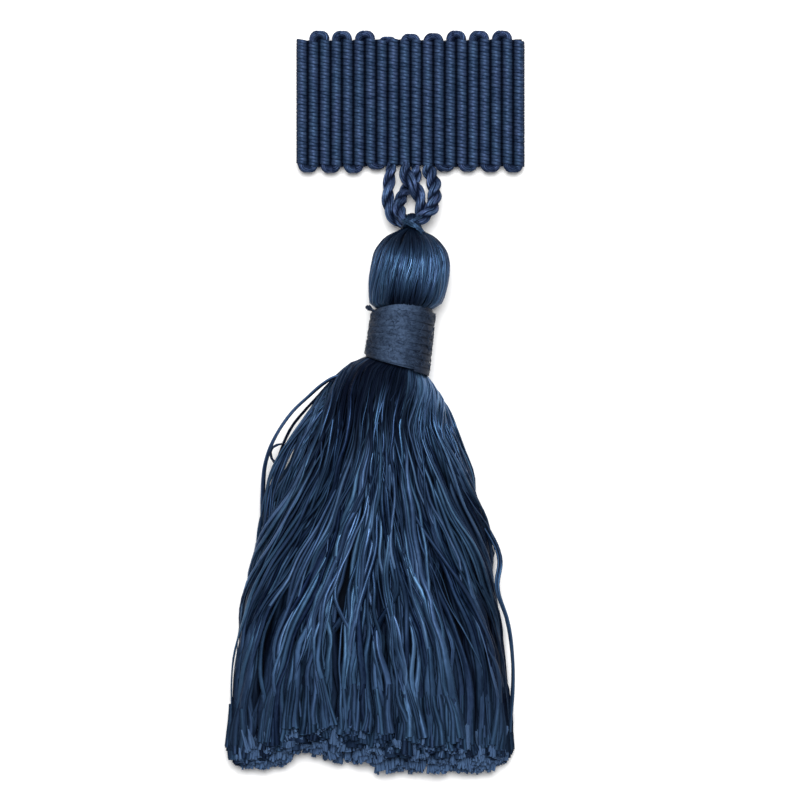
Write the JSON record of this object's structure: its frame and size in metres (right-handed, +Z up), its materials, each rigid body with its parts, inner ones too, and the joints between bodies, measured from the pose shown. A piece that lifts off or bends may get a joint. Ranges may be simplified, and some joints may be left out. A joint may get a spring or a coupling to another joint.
{
  "type": "tassel on a ribbed braid heading",
  "caption": "Thread tassel with a round bound neck and a full cut skirt, hung by two interlaced cord loops from one repeat of a ribbed braid heading, lying on its back.",
  "frame": {"origin": "middle of the braid heading's flat back, on the surface that the tassel lies on", "axes": "+X along the heading, +Y from the skirt's cut ends up to the heading, +Z up out of the surface that the tassel lies on"},
  "size_m": [0.04, 0.1017, 0.0109],
  "materials": {
    "gimp_cord": "navy wrapped cord, soft satin",
    "web": "dark navy woven ground, matt",
    "floss": "navy rayon floss, satin",
    "wrapping_thread": "navy wrapping thread, matt"
  },
  "bodies": {
    "root": {"heading_web": "web", "gimp_cord": "gimp_cord", "eye_band": "floss", "floss_body": "floss", "neck_wrap": "wrapping_thread"}
  },
  "joints": []
}
